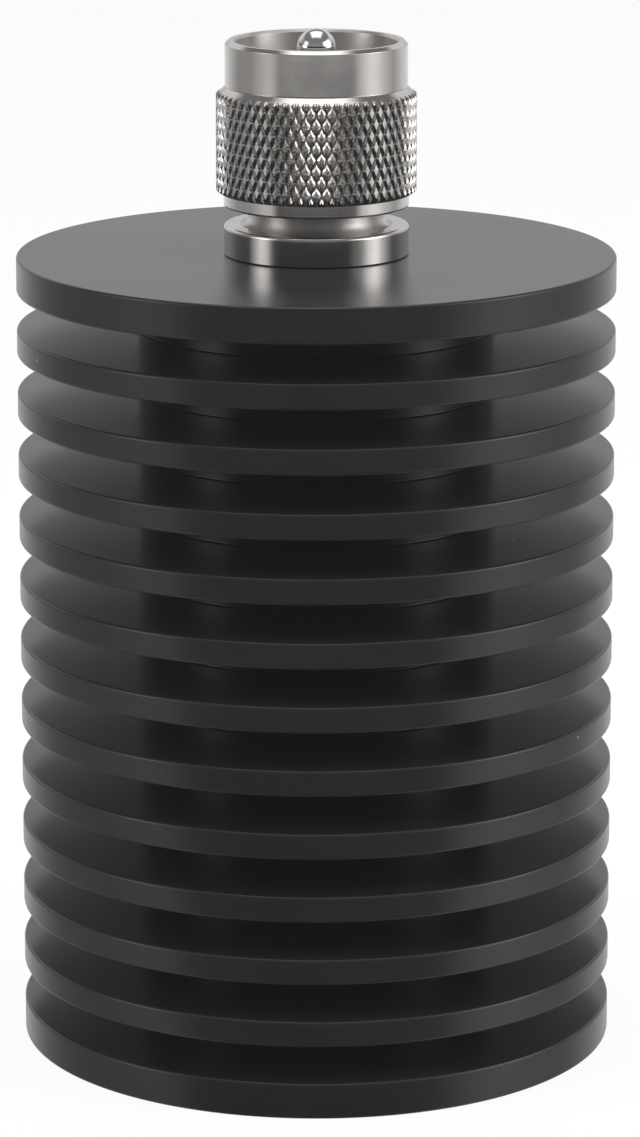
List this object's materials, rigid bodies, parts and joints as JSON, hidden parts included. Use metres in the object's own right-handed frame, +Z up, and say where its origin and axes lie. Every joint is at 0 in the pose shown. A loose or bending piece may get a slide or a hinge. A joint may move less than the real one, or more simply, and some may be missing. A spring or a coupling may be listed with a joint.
{
  "type": "coaxial terminator",
  "caption": "Coaxial dummy load: a screw-on plug with a spinning knurled coupling nut on a heatsink turned with ring fins, holding a flange resistor.",
  "frame": {"origin": "centre of the heatsink's flat underside, on the axis", "axes": "+Z up the axis of the heatsink, the plug and the pin, out of the plug's mouth; +Y towards the resistor's lid side of the hidden carrier"},
  "size_m": [0.06, 0.06, 0.103],
  "materials": {
    "black_anodised": "satin black anodised, turned",
    "nickel": "bright nickel plate on brass",
    "pin_plating": "bright silver plate on brass",
    "spring_steel": "plain spring steel",
    "insulator": "turned white fluoropolymer",
    "bare_aluminium": "bare turned and milled",
    "plated_copper": "satin nickel plate on copper",
    "resistor_ceramic": "matt white ceramic"
  },
  "bodies": {
    "load": {"heatsink": "black_anodised", "connector_body": "nickel", "nut_snap_ring": "spring_steel", "front_insulator": "insulator", "rear_insulator": "insulator", "centre_pin": "pin_plating", "resistor_carrier": "bare_aluminium", "resistor_flange": "plated_copper", "resistor_chip": "resistor_ceramic", "resistor_lid": "resistor_ceramic", "resistor_lead": "pin_plating", "resistor_screw": "spring_steel", "lock_washer": "spring_steel"},
    "nut": {"coupling_nut": "nickel"}
  },
  "joints": [
    {"name": "nut_spin", "type": "hinge", "parent": "load", "child": "nut", "pos_m": [0, 0, 0.08657], "axis": [0, 0, 1], "continuous": true}
  ]
}
